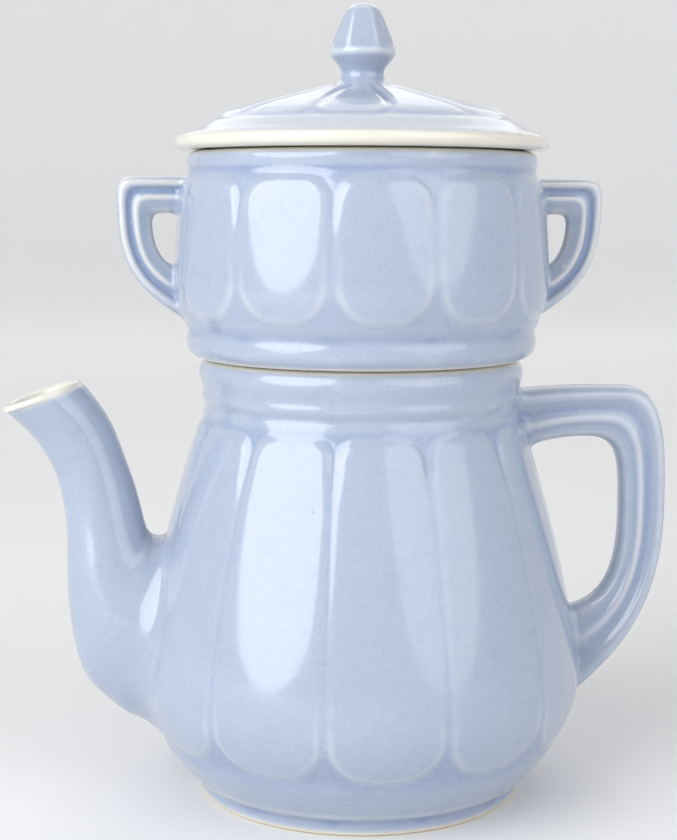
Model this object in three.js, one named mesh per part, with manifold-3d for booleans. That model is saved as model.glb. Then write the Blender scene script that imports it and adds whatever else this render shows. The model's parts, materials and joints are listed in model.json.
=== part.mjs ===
// A glazed earthenware drip coffee pot: pot, filter vessel, water spreader and lid, stacked loose.
// Millimetres, +Z up. The origin is on the pot's axis at table level, and the handle points along +X.
import * as THREE from "three";
import { mergeVertices } from "three/addons/utils/BufferGeometryUtils.js";
import Module from "manifold-3d";

const wasm = await Module();
wasm.setup();

// Gaps and clearances
const lutingGap = 0.3; // between a body and the spout, handle, ear or knob that is stuck on it
const seatGap = 0.3; // under each loose piece, where it rests on the one below
const collarClearance = 1; // round the filter vessel's collar in the pot's mouth
const spreaderClearance = 1.2; // round the spreader in the vessel's mouth
const flangeClearance = 1; // round the lid's flange in the vessel's mouth

// The twelve moulded panels that run round the pot, the vessel and the lid
const panels = { count: 12, halfWidth: 11.5, crest: 0.5, valley: 1.2, fade: 5 }; // halfWidth in degrees

const pot = {
  height: 143.9,
  wall: 4.2,
  floor: 6,
  footRadius: 53.7,
  footHeight: 5.5,
  footRing: 5, // width of the ring that stands on the table
  recess: 1.5, // the underside inside the foot ring
  heelRadius: 57.4,
  bellyRadius: 73,
  bellyHeight: 38,
  neckRadius: 50.5,
  neckDrop: 15, // from the rim down to the narrowest ring
  rimFlare: 1.9, // the band under the rim, out past the neck
  rimBand: 8, // height of the upright band under the rim
  panelBottom: 23,
  panelTop: 123,
};

const spout = {
  wall: 3.6,
  lipOut: 31.2, // middle of the mouth, out from the belly's radius
  lipHeight: 132.3,
  lipDepth: 26.7,
  lipTilt: 19.7, // degrees
  lipWidth: 25,
  throatDepth: 23,
  throatWidth: 20,
  rootLow: 22.5,
  rootHigh: 84,
  rootWidth: 40,
  boreWidth: 20, // the oval hole through the pot's wall
  boreLow: 34,
  boreHigh: 68,
};

const handle = {
  reach: 31.7, // to its outermost edge, out from the belly
  depth: 16.3, // outer edge to inner edge
  width: 15,
  topDrop: 9.9, // from the pot's rim down to its top edge
  topDepth: 17.2,
  bendHeight: 97, // where the upright is steepest
  rootLow: 28.5,
  rootHigh: 59.5,
};

const vessel = {
  height: 66.1,
  wall: 4,
  floor: 5,
  seatOverhang: 1, // the seat, out past the pot's rim
  baseSwell: 3.6, // the base moulding, out past the seat
  baseHeight: 10.2, // from the seat to the valley over the base moulding
  valleyDepth: 0.6, // the valley, in from the base moulding
  wallSwell: 4.3, // the panelled wall, out past the rim
  panelBottom: 16.5,
  panelTop: 52,
  rimRadius: 56.2,
  rimBand: 8.5,
  collarDepth: 9,
  collarWall: 3.5,
  ledgeDrop: 14.5, // from the rim down to the ledge that carries the spreader
  ledgeWidth: 3.5,
  ledgeThickness: 4,
};

const ear = {
  reach: 18.5, // to its outermost edge, out from the vessel's wall
  width: 11,
  topDrop: 8, // from the vessel's rim down to its top edge
  topDepth: 11.8,
  bandDepth: 11.3,
  bendDrop: 20,
  rootDrop: 54, // from the rim down to its lowest point
  gapDrop: 36, // from the rim down to the bottom of the finger gap
};

const holes = { diameter: 3.2, pitch: 12, rings: 3, sides: 6 }; // 6, 12 and 18 in the rings round the middle

const spreader = { floor: 4, rimHeight: 6, rimWall: 3.2, knobRadius: 6.5, knobHeight: 14 };

const lid = {
  brimOverhang: 4.3, // out past the vessel's rim
  underOverhang: 1, // the face that rests on the vessel's rim, out past it
  brimHeight: 5,
  stepInset: 14.5, // from the brim in to the foot of the dome
  stepHeight: 12, // from the seat to the foot of the dome
  domeHeight: 21.2, // from the seat to the pad under the knob
  padRadius: 8.5,
  wall: 4.3,
  flangeDepth: 6,
  flangeWall: 3.7,
  turn: -10.5, // degrees, how far it happens to be turned on the vessel
  panelInner: 14,
};

const knob = {
  height: 26.2,
  footRadius: 7.8,
  neckRadius: 6.8,
  neckHeight: 2.6,
  ridgeRadius: 10.7,
  ridgeHeight: 11.3,
  crownRadius: 5.4,
  crownHeight: 23,
  facets: 6,
};

// Heights where one piece seats on the next
const vesselSeat = pot.height + seatGap;
const vesselRim = vesselSeat + vessel.height;
const ledgeTop = vesselRim - vessel.ledgeDrop;
const spreaderSeat = ledgeTop + seatGap;
const lidSeat = vesselRim + seatGap;
const lidPad = lidSeat + lid.domeHeight;

// Radii that one piece shares with the next
const potMouth = pot.neckRadius - pot.wall;
const potRimRadius = pot.neckRadius + pot.rimFlare;
const seatRadius = potRimRadius + vessel.seatOverhang;
const baseRadius = seatRadius + vessel.baseSwell;
const vesselMouth = vessel.rimRadius - vessel.wall;
const wallRadius = vessel.rimRadius + vessel.wallSwell;
const collarRadius = potMouth - collarClearance;
const spreaderRadius = vesselMouth - spreaderClearance;
const flangeRadius = vesselMouth - flangeClearance;
const brimRadius = vessel.rimRadius + lid.brimOverhang;
const underRadius = vessel.rimRadius + lid.underOverhang;
const stepRadius = brimRadius - lid.stepInset;

const boreSegments = 36; // columns of the plain turned shapes
const curveSteps = 7; // steps in each stretch of an outside curve
const cavitySteps = 4; // the same inside, where nothing shows
const over = 1; // how far a cutter runs past the face that it opens

const glaze = { color: 0xb7c5de, roughness: 0.15, metalness: 0 };
const biscuit = { color: 0xe8e0cf, roughness: 0.45, metalness: 0 };

// ---- Solids and meshes ----

function solidOf(geometry) {
  const plain = new THREE.BufferGeometry().setAttribute("position", geometry.getAttribute("position"));
  if (geometry.index) plain.setIndex(geometry.index);
  const merged = mergeVertices(plain, 1e-4);
  const triVerts = new Uint32Array(merged.index.array);
  const vertProperties = merged.getAttribute("position").array;
  const solid = new wasm.Manifold(new wasm.Mesh({ numProp: 3, vertProperties, triVerts }));
  if (solid.volume() > 0) return solid;
  triVerts.reverse(); // a mirrored run of the rails leaves the faces pointing in
  return new wasm.Manifold(new wasm.Mesh({ numProp: 3, vertProperties, triVerts }));
}

function meshOf(name, solid, finish) {
  const { vertProperties, triVerts } = solid.getMesh();
  const geometry = new THREE.BufferGeometry();
  geometry.setAttribute("position", new THREE.BufferAttribute(vertProperties, 3));
  geometry.setIndex(new THREE.BufferAttribute(triVerts, 1));
  geometry.computeVertexNormals();
  const mesh = new THREE.Mesh(geometry, new THREE.MeshStandardMaterial(finish));
  mesh.name = name;
  return mesh;
}

// ---- Turned shapes: each outline runs from the axis, out, up and back to the axis ----

const row = (radius, z, relief = 0) => ({ radius, z, relief });

function turned(outline, columns = boreSegments) {
  const profile = outline.map(({ radius, z }) => new THREE.Vector2(radius, z));
  return solidOf(new THREE.LatheGeometry(profile, columns).rotateX(Math.PI / 2));
}

// Each panel takes four columns: the valley, its near edge, its middle and its far edge.
function panelColumn(column) {
  const pitch = 360 / panels.count;
  const valleyAngle = (Math.floor(column / 4) - 0.5) * pitch;
  const inPanel = column % 4;
  const angle = [0, pitch / 2 - panels.halfWidth, pitch / 2, pitch / 2 + panels.halfWidth][inPanel];
  const rise = [-panels.valley, panels.crest, 0, panels.crest][inPanel];
  return { angle: THREE.MathUtils.degToRad(valleyAngle + angle), rise };
}

// A turned shape with moulded panels. The relief stands out along the radius, or up where it lies on a dome.
function panelled(outline, { grow = 0, turn = 0, up = false } = {}) {
  const columns = panels.count * 4;
  const profile = outline.map(({ radius, z }) => new THREE.Vector2(radius, z));
  const geometry = new THREE.LatheGeometry(profile, columns).rotateX(Math.PI / 2);
  const position = geometry.getAttribute("position");
  for (let i = 0; i < position.count; i++) {
    const { radius, z, relief } = outline[i % outline.length];
    const { angle, rise } = panelColumn(Math.floor(i / outline.length) % columns);
    const turnedAngle = angle + THREE.MathUtils.degToRad(turn);
    const reach = radius === 0 ? 0 : radius + grow + (up ? 0 : rise * relief);
    const height = z + (up ? rise * relief : 0);
    position.setXYZ(i, reach * Math.cos(turnedAngle), reach * Math.sin(turnedAngle), height);
  }
  return solidOf(geometry);
}

// How much of the panel relief shows at a place between the panels' two ends
function reliefAt(place, from, to) {
  const { smoothstep } = THREE.MathUtils;
  return smoothstep(place, from, from + panels.fade) * (1 - smoothstep(place, to - panels.fade, to));
}

function radiusAt(outline, z) {
  const upper = outline.findIndex((point, i) => i > 0 && point.z >= z && outline[i - 1].z < z);
  const [low, high] = [outline[upper - 1], outline[upper]];
  return THREE.MathUtils.mapLinear(z, low.z, high.z, low.radius, high.radius);
}

// ---- Bars and tubes between two rails in the XZ plane ----

// The section's x runs from the inner rail (-1) to the outer rail (+1), and its y across, in half widths.
function railed(section, innerRail, outerRail, halfWidths) {
  const steps = innerRail.length - 1;
  const shape = new THREE.Shape(section);
  const geometry = new THREE.ExtrudeGeometry(shape, { depth: 1, steps, bevelEnabled: false });
  const position = geometry.getAttribute("position");
  for (let i = 0; i < position.count; i++) {
    const step = Math.round(position.getZ(i) * steps);
    const point = innerRail[step].clone().lerp(outerRail[step], (position.getX(i) + 1) / 2);
    position.setXYZ(i, point.x, position.getY(i) * halfWidths[step], point.y);
  }
  return solidOf(geometry);
}

function oval(sides) {
  return new THREE.EllipseCurve(0, 0, 1, 1).getPoints(sides).slice(0, sides);
}

// A flat bar with rounded edges, a groove along each side and a narrower inner edge
function barSection() {
  const side = [
    [1, 0.62],
    [0.82, 0.95],
    [0.5, 1],
    [0.15, 0.74],
    [-0.2, 0.82],
    [-0.6, 0.72],
    [-1, 0.4],
  ];
  const far = side.map(([x, y]) => new THREE.Vector2(x, y));
  const near = side.map(([x, y]) => new THREE.Vector2(x, -y)).reverse();
  return [...far, ...near];
}

// ---- Pot ----

// The wall from the heel over the belly to the neck, drawn in by `inset`
function potFlank(inset, steps) {
  const { heelRadius, bellyRadius, bellyHeight, neckRadius, footHeight } = pot;
  const heel = heelRadius - inset;
  const belly = bellyRadius - inset;
  const neck = neckRadius - inset;
  const heelHeight = footHeight + 1.6 + inset;
  const neckHeight = pot.height - pot.neckDrop;
  const spring = 0.4 * (bellyHeight - heelHeight); // how far the curve stays upright below the belly
  const flank = neckHeight - bellyHeight;
  const path = new THREE.Path();
  path.moveTo(heel, heelHeight);
  path.bezierCurveTo(heel + 4.6, heelHeight + 4.4, belly, bellyHeight - spring, belly, bellyHeight);
  path.bezierCurveTo(belly, bellyHeight + 0.2 * flank, neck + 8, neckHeight - 0.23 * flank, neck, neckHeight);
  return path.getPoints(steps);
}

function potOutline() {
  const { height, footRadius, footHeight, footRing, recess, rimBand } = pot;
  const flank = potFlank(0, curveSteps).map((p) => row(p.x, p.y, reliefAt(p.y, pot.panelBottom, pot.panelTop)));
  return [
    row(0, recess),
    row(footRadius - footRing, recess),
    row(footRadius - footRing + recess / 2, 0),
    row(footRadius - 1, 0),
    row(footRadius, 1.2),
    row(footRadius, footHeight),
    ...flank,
    row(potRimRadius, height - rimBand),
    row(potRimRadius, height - 1.2),
    row(potRimRadius - 1, height),
    row(0, height),
  ];
}

function potCavity() {
  const flank = potFlank(pot.wall, cavitySteps).filter((p) => p.y > pot.floor + over);
  return [
    row(0, pot.floor),
    row(flank[0].x - 3, pot.floor),
    ...flank.map((p) => row(p.x, p.y)),
    row(potMouth, pot.height + over),
    row(0, pot.height + over),
  ];
}

// ---- Spout ----

// Stations from inside the pot to the lip. `out` is measured from the belly's radius.
function spoutStations() {
  const { lipOut, lipHeight, lipDepth, lipTilt, lipWidth } = spout;
  const { throatDepth, throatWidth, rootLow, rootHigh, rootWidth } = spout;
  const rootMiddle = (rootLow + rootHigh) / 2;
  const rootDepth = rootHigh - rootLow;
  return [
    { out: -21, height: rootMiddle, depth: rootDepth, tilt: 90, width: rootWidth },
    { out: -4.5, height: rootMiddle, depth: rootDepth, tilt: 85, width: rootWidth },
    { out: 4.5, height: rootMiddle + 6, depth: rootDepth - 5, tilt: 74, width: rootWidth - 5 },
    { out: 9, height: rootMiddle + 12.8, depth: rootDepth - 11, tilt: 64, width: rootWidth - 9 },
    { out: 11.4, height: rootMiddle + 26, depth: throatDepth + 15, tilt: 50, width: throatWidth + 6 },
    { out: 12.5, height: rootMiddle + 41.7, depth: throatDepth + 3.5, tilt: 32, width: throatWidth + 1.5 },
    { out: 15.3, height: lipHeight - 24.8, depth: throatDepth, tilt: 18, width: throatWidth },
    { out: 19.7, height: lipHeight - 14.2, depth: throatDepth + 0.8, tilt: 19, width: throatWidth + 1 },
    { out: 24.9, height: lipHeight - 6.7, depth: lipDepth - 1.7, tilt: lipTilt, width: lipWidth - 2 },
    { out: lipOut, height: lipHeight, depth: lipDepth, tilt: lipTilt, width: lipWidth },
  ];
}

// A closed tube through the stations, drawn in all round by `inset`
function spoutTube(inset, sides, stations) {
  const steps = 2 * (stations.length - 1);
  const ends = stations.map(({ out, height, depth, tilt }) => {
    const middle = new THREE.Vector2(-(pot.bellyRadius + out), height);
    const lean = THREE.MathUtils.degToRad(tilt);
    const half = new THREE.Vector2(Math.cos(lean), Math.sin(lean)).multiplyScalar(depth / 2 - inset);
    return { upper: middle.clone().add(half), under: middle.clone().sub(half) };
  });
  const upperRail = new THREE.SplineCurve(ends.map(({ upper }) => upper)).getPoints(steps);
  const underRail = new THREE.SplineCurve(ends.map(({ under }) => under)).getPoints(steps);
  const widths = new THREE.SplineCurve(stations.map(({ width }, i) => new THREE.Vector2(i, width / 2 - inset)));
  const halfWidths = widths.getPoints(steps).map((p) => p.y);
  return railed(oval(sides), upperRail, underRail, halfWidths);
}

// The hollow of the spout: the same run, carried past the lip, and stopped short of the pot's wall
function spoutHollow() {
  const stations = spoutStations().slice(1);
  const lip = stations.at(-1);
  const tip = { ...lip, out: lip.out + over, height: lip.height + 2 * over };
  return spoutTube(spout.wall, 10, [...stations, tip]);
}

// The oval hole that joins the pot's inside to the spout's
function spoutBore() {
  const { boreLow, boreHigh, boreWidth } = spout;
  const reach = pot.bellyRadius + over;
  const inside = pot.neckRadius - pot.wall - over;
  const upperRail = [new THREE.Vector2(-inside, boreHigh), new THREE.Vector2(-reach, boreHigh)];
  const underRail = [new THREE.Vector2(-inside, boreLow), new THREE.Vector2(-reach, boreLow)];
  return railed(oval(12), upperRail, underRail, [boreWidth / 2, boreWidth / 2]);
}

// ---- Pot handle ----

function potHandle(outline) {
  const { depth, width, topDrop, topDepth, bendHeight, rootLow, rootHigh } = handle;
  const top = pot.height - topDrop;
  const gapTop = top - topDepth;
  const reach = pot.bellyRadius + handle.reach;
  const gapReach = reach - depth;
  const low = radiusAt(outline, rootLow);
  const high = radiusAt(outline, rootHigh);
  const neck = radiusAt(outline, gapTop);
  const buried = 6; // how deep the roots run into the wall before they are trimmed
  const outer = new THREE.Path();
  outer.moveTo(low - buried, rootLow - buried);
  outer.bezierCurveTo(low + 21, rootLow + 14.5, reach + 0.8, rootLow + 33, reach, bendHeight);
  outer.bezierCurveTo(reach, bendHeight + 21, reach - 1.7, top, reach - 14.7, top);
  outer.bezierCurveTo(reach - 26, top + 0.4, neck + 12, top + 0.4, pot.neckRadius - buried, top - 1.5);
  const inner = new THREE.Path();
  inner.moveTo(high - buried, rootHigh - 1.5);
  inner.bezierCurveTo(high + 13.5, rootHigh - 1, gapReach + 0.4, rootHigh + 10, gapReach, bendHeight - 4);
  inner.bezierCurveTo(gapReach, gapTop - 6, gapReach - 1.4, gapTop, gapReach - 12.4, gapTop);
  inner.bezierCurveTo(neck + 12, gapTop, neck + 3, gapTop - 1, neck - buried, gapTop - 7);
  const innerRail = inner.getPoints(curveSteps);
  const outerRail = outer.getPoints(curveSteps);
  const halfWidths = innerRail.map(() => width / 2);
  return railed(barSection(), innerRail, outerRail, halfWidths);
}

// ---- Filter vessel ----

function vesselOutline() {
  const { height, baseHeight, valleyDepth } = vessel;
  const { panelBottom, panelTop, rimRadius, rimBand, collarDepth } = vessel;
  const valleyRadius = baseRadius - valleyDepth;
  const path = new THREE.Path();
  path.moveTo(seatRadius, 0);
  path.bezierCurveTo(seatRadius + 1.2, 0.6, baseRadius, baseHeight / 4, baseRadius, baseHeight / 2);
  path.quadraticCurveTo(baseRadius, baseHeight - 1, valleyRadius, baseHeight);
  path.bezierCurveTo(valleyRadius, panelBottom - 3, wallRadius, panelBottom - 3, wallRadius, panelBottom + 1);
  path.quadraticCurveTo(wallRadius + 0.5, (panelBottom + panelTop) / 2, wallRadius - 0.4, panelTop - 4);
  path.bezierCurveTo(wallRadius - 1, panelTop, rimRadius + 0.6, panelTop, rimRadius, height - rimBand);
  const wall = path.getPoints(4).map((p) => row(p.x, p.y, reliefAt(p.y, panelBottom - 2, panelTop)));
  return [
    row(0, -collarDepth),
    row(collarRadius, -collarDepth),
    row(collarRadius, 0),
    ...wall,
    row(rimRadius, height - 1.2),
    row(rimRadius - 1, height),
    row(0, height),
  ].map((point) => ({ ...point, z: point.z + vesselSeat }));
}

function vesselCavity() {
  const { wall, floor, baseHeight, panelBottom, ledgeWidth, ledgeThickness } = vessel;
  const chamber = wallRadius - wall;
  const ledge = vesselMouth - ledgeWidth;
  const floorTop = vesselSeat + floor;
  return [
    row(0, floorTop),
    row(baseRadius - wall - 2, floorTop),
    row(baseRadius - wall - 0.6, vesselSeat + baseHeight),
    row(chamber, vesselSeat + panelBottom + 2),
    row(chamber, ledgeTop - ledgeThickness - (chamber - ledge)),
    row(ledge, ledgeTop - ledgeThickness),
    row(ledge, ledgeTop),
    row(vesselMouth, ledgeTop),
    row(vesselMouth, vesselRim + over),
    row(0, vesselRim + over),
  ];
}

// Straight holes through a floor, in rings from the innermost one out
function strained(solid, from, to, innermost) {
  const { diameter, pitch, rings, sides } = holes;
  const drill = new THREE.CylinderGeometry(diameter / 2, diameter / 2, to - from, sides).rotateX(Math.PI / 2);
  let cut = solid;
  for (let ring = innermost; ring <= rings; ring++) {
    const count = Math.max(1, 6 * ring);
    for (let i = 0; i < count; i++) {
      const angle = (2 * Math.PI * i) / count;
      const [x, y] = [ring * pitch * Math.cos(angle), ring * pitch * Math.sin(angle)];
      cut = cut.subtract(solidOf(drill.clone().translate(x, y, (from + to) / 2)));
    }
  }
  return cut;
}

function filterVessel(outline) {
  const { collarDepth, collarWall, floor } = vessel;
  const throat = turned([
    row(0, vesselSeat - collarDepth - over),
    row(collarRadius - collarWall, vesselSeat - collarDepth - over),
    row(collarRadius - collarWall, vesselSeat),
    row(0, vesselSeat),
  ]);
  const shell = panelled(outline).subtract(turned(vesselCavity())).subtract(throat);
  return strained(shell, vesselSeat - over, vesselSeat + floor + over, 0);
}

// ---- Ears ----

function vesselEar(outline) {
  const { width, topDrop, topDepth, bandDepth, bendDrop, rootDrop, gapDrop } = ear;
  const top = vesselRim - topDrop;
  const gapTop = top - topDepth;
  const reach = wallRadius + ear.reach;
  const gapReach = reach - bandDepth;
  const bend = vesselRim - bendDrop;
  const gapLow = vesselRim - gapDrop;
  const low = vesselRim - rootDrop;
  const wall = radiusAt(outline, (gapTop + gapLow) / 2);
  const root = radiusAt(outline, low);
  const buried = 5;
  const outer = new THREE.Path();
  outer.moveTo(root - buried, low - buried / 2);
  outer.bezierCurveTo(wall + 11, low + 8, reach - 0.8, low + 15, reach, bend);
  outer.bezierCurveTo(reach + 0.4, top - 3, reach + 0.4, top, reach - 6, top);
  outer.lineTo(wall - buried, top);
  const inner = new THREE.Path();
  inner.moveTo(wall - buried, gapLow - 2);
  inner.bezierCurveTo(wall + 3, gapLow - 1.5, gapReach - 0.6, gapLow + 3, gapReach, bend - 3.5);
  inner.bezierCurveTo(gapReach, gapTop - 0.6, gapReach - 1, gapTop, gapReach - 3.5, gapTop);
  inner.lineTo(wall - buried, gapTop);
  const innerRail = inner.getPoints(curveSteps);
  const outerRail = outer.getPoints(curveSteps);
  return railed(barSection(), innerRail, outerRail, innerRail.map(() => width / 2));
}

// ---- Water spreader ----

function spreaderDish() {
  const { floor, rimHeight, rimWall } = spreader;
  const top = spreaderSeat + rimHeight;
  const floorTop = spreaderSeat + floor;
  const dish = turned([
    row(0, spreaderSeat),
    row(spreaderRadius, spreaderSeat),
    row(spreaderRadius, top),
    row(spreaderRadius - rimWall, top),
    row(spreaderRadius - rimWall - 1, floorTop),
    row(0, floorTop),
  ]);
  return strained(dish, spreaderSeat - over, floorTop + over, 1);
}

// A plain waisted button, to lift the spreader out by
function spreaderKnob() {
  const { floor, knobRadius, knobHeight } = spreader;
  const base = spreaderSeat + floor + lutingGap;
  return turned(
    [
      row(0, base),
      row(knobRadius - 1, base),
      row(knobRadius - 2.5, base + knobHeight / 3),
      row(knobRadius, base + (2 * knobHeight) / 3),
      row(knobRadius - 0.8, base + knobHeight - 1.6),
      row(knobRadius - 3, base + knobHeight),
      row(0, base + knobHeight),
    ],
    24,
  );
}

// ---- Lid ----

function lidDome(inset) {
  const foot = new THREE.Vector2(stepRadius - inset, lidSeat + lid.stepHeight - inset);
  const pad = new THREE.Vector2(lid.padRadius, lidPad - inset);
  const crown = new THREE.Vector2((foot.x + pad.x) / 2, (foot.y + pad.y) / 2 + 0.9);
  return new THREE.QuadraticBezierCurve(foot, crown, pad).getPoints(6);
}

function lidBody() {
  const { brimHeight, stepHeight, wall, flangeDepth, flangeWall } = lid;
  const edge = stepRadius + panels.fade / 2;
  const dome = lidDome(0).map((p) => row(p.x, p.y, reliefAt(-p.x, -edge, -lid.panelInner)));
  const outside = panelled(
    [
      row(0, lidSeat - flangeDepth),
      row(flangeRadius, lidSeat - flangeDepth),
      row(flangeRadius, lidSeat),
      row(underRadius, lidSeat),
      row(brimRadius - 0.8, lidSeat + 1),
      row(brimRadius, lidSeat + brimHeight / 2 + 0.4),
      row(brimRadius - 1.2, lidSeat + brimHeight - 0.4),
      row(brimRadius - 4.5, lidSeat + brimHeight + 0.9),
      row(stepRadius + 3, lidSeat + stepHeight - 2.2),
      ...dome,
      row(0, lidPad),
    ],
    { turn: lid.turn, up: true },
  );
  const inner = lidDome(wall).filter((p) => p.x < flangeRadius - flangeWall);
  const inside = turned([
    row(0, lidSeat - flangeDepth - over),
    row(flangeRadius - flangeWall, lidSeat - flangeDepth - over),
    row(flangeRadius - flangeWall, lidSeat + brimHeight - 1),
    ...inner.map((p) => row(p.x, p.y)),
    row(0, lidPad - wall),
  ]);
  return outside.subtract(inside);
}

// A waisted foot under a tall crown, whose flat facets fade out at the ridge
function lidKnob() {
  const { height, footRadius, neckRadius, neckHeight, ridgeRadius, ridgeHeight } = knob;
  const { crownRadius, crownHeight, facets } = knob;
  const base = lidPad + lutingGap;
  const outline = [
    row(0, 0),
    row(footRadius, 0),
    row(neckRadius, neckHeight),
    row(neckRadius + 0.5, neckHeight + 1.9),
    row(ridgeRadius - 1, ridgeHeight - 3.3),
    row(ridgeRadius, ridgeHeight),
    row(ridgeRadius - 1.2, ridgeHeight + 3.6, 0.5),
    row((ridgeRadius + crownRadius) / 2 - 0.2, (ridgeHeight + crownHeight) / 2 + 1.6, 1),
    row(crownRadius, crownHeight, 1),
    row(crownRadius / 2, height - 1, 0.5),
    row(0, height),
  ].map((point) => ({ ...point, z: point.z + base }));
  const columns = facets * 4;
  const profile = outline.map(({ radius, z }) => new THREE.Vector2(radius, z));
  const geometry = new THREE.LatheGeometry(profile, columns).rotateX(Math.PI / 2);
  const position = geometry.getAttribute("position");
  const corner = Math.PI / facets;
  for (let i = 0; i < position.count; i++) {
    const { radius, relief } = outline[i % outline.length];
    const column = Math.floor(i / outline.length) % columns;
    const angle = (2 * Math.PI * column) / columns;
    const flat = Math.cos(corner) / Math.cos(((column % 4) - 2) * (corner / 2));
    const reach = radius * THREE.MathUtils.lerp(1, flat, relief);
    position.setXY(i, reach * Math.cos(angle), reach * Math.sin(angle));
  }
  return solidOf(geometry);
}

// ---- Assembly ----

const potShape = potOutline();
const vesselShape = vesselOutline();
const potGrown = panelled(potShape, { grow: lutingGap });
const vesselGrown = panelled(vesselShape, { grow: lutingGap });

const potBody = panelled(potShape).subtract(turned(potCavity())).subtract(spoutBore());
const potSpout = spoutTube(0, 12, spoutStations()).subtract(potGrown).subtract(spoutHollow());
const rightEar = vesselEar(vesselShape).subtract(vesselGrown);

const group = new THREE.Group();
group.add(
  meshOf("pot_body", potBody, glaze),
  meshOf("pot_spout", potSpout, glaze),
  meshOf("pot_handle", potHandle(potShape).subtract(potGrown), glaze),
  meshOf("filter_vessel", filterVessel(vesselShape), glaze),
  meshOf("filter_ear_right", rightEar, glaze),
  meshOf("filter_ear_left", rightEar.rotate([0, 0, 180]), glaze),
  meshOf("spreader", spreaderDish(), biscuit),
  meshOf("spreader_knob", spreaderKnob(), biscuit),
  meshOf("lid", lidBody(), glaze),
  meshOf("lid_knob", lidKnob(), glaze),
);

export default group;
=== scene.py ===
import json
import math

import bpy
import numpy as np
from mathutils import Euler, Matrix, Vector

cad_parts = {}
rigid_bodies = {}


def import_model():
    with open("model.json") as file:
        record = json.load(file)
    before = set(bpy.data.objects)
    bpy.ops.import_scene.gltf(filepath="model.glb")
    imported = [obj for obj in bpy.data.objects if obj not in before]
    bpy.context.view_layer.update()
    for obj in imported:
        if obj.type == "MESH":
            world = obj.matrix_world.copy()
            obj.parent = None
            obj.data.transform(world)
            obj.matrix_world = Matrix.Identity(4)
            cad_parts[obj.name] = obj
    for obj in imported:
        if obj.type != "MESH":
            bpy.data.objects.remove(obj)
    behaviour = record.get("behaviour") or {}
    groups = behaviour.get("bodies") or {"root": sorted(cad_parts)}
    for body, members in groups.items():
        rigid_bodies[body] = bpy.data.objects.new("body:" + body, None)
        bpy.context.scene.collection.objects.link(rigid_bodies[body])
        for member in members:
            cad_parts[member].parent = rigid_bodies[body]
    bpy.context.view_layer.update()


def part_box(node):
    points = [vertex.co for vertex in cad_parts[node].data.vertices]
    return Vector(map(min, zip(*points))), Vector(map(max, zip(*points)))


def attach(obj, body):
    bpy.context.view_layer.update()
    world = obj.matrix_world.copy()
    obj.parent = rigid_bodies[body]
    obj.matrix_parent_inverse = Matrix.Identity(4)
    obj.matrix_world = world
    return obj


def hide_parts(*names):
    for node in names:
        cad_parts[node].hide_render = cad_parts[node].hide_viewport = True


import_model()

mm = 0.001
seatGap = 0.3  # a loose piece's play over its seat, in millimetres


# A node's lowest and highest corners in millimetres
def corners(node):
    low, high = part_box(node)
    return [v / mm for v in low], [v / mm for v in high]


# Heights and widths that the frame settles
potRim = corners("pot_body")[1][2]
vesselRim = corners("filter_vessel")[1][2]
vesselSeat, lidSeat = potRim + seatGap, vesselRim + seatGap
lidBrim, _, lidPad = corners("lid")[1]
spreaderLow, spreaderHigh = corners("spreader")
lidKnobLow, lidKnobHigh = corners("lid_knob")
smallKnobLow, smallKnobHigh = corners("spreader_knob")
handleReach = corners("pot_handle")[1][0]
earReach = corners("filter_ear_right")[1][0]


def clearSelection():
    if bpy.context.object and bpy.context.object.mode != "OBJECT":
        bpy.ops.object.mode_set(mode="OBJECT")
    bpy.ops.object.select_all(action="DESELECT")


def pick(piece):
    clearSelection()
    piece.select_set(True)
    bpy.context.view_layer.objects.active = piece


def places(piece):
    flat = np.empty(len(piece.data.vertices) * 3)
    piece.data.vertices.foreach_get("co", flat)
    return flat.reshape(-1, 3)


def putPlaces(piece, points):
    piece.data.vertices.foreach_set("co", np.ascontiguousarray(points).ravel())
    piece.data.update()


# Distance from the axis, and the angle round it
def polar(points):
    return np.hypot(points[:, 0], points[:, 1]), np.arctan2(points[:, 1], points[:, 0])


def soften(share):
    return share * share * (3 - 2 * share)


# Turns from 0 at low to 1 at high, softly
def ease(value, low, high):
    return soften(np.clip((np.asarray(value, float) - low) / (high - low), 0, 1))


# A soft bump of height 1 and the given width, where the value is at its middle
def ridge(value, middle, width):
    return np.exp(-((value - middle) / width) ** 2)


# Distance run along a line at each of its points
def distances(line):
    return np.concatenate([[0], np.cumsum(np.linalg.norm(np.diff(line, axis=0), axis=1))])


def bezier(points, steps):
    t = np.linspace(0, 1, steps + 1)[:, None]
    run = [np.asarray(p, float)[None, :] + 0 * t for p in points]
    while len(run) > 1:
        run = [a * (1 - t) + b * t for a, b in zip(run, run[1:])]
    return run[0]


def joined(*stretches):
    line = [stretches[0]]
    for stretch in stretches[1:]:
        line.append(stretch[1:] if np.allclose(line[-1][-1], stretch[0]) else stretch)
    return np.concatenate(line)


def evenly(line, count):
    run = distances(line)
    at = np.linspace(0, run[-1], count)
    return np.stack([np.interp(at, run, line[:, i]) for i in range(line.shape[1])], 1)


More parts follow.
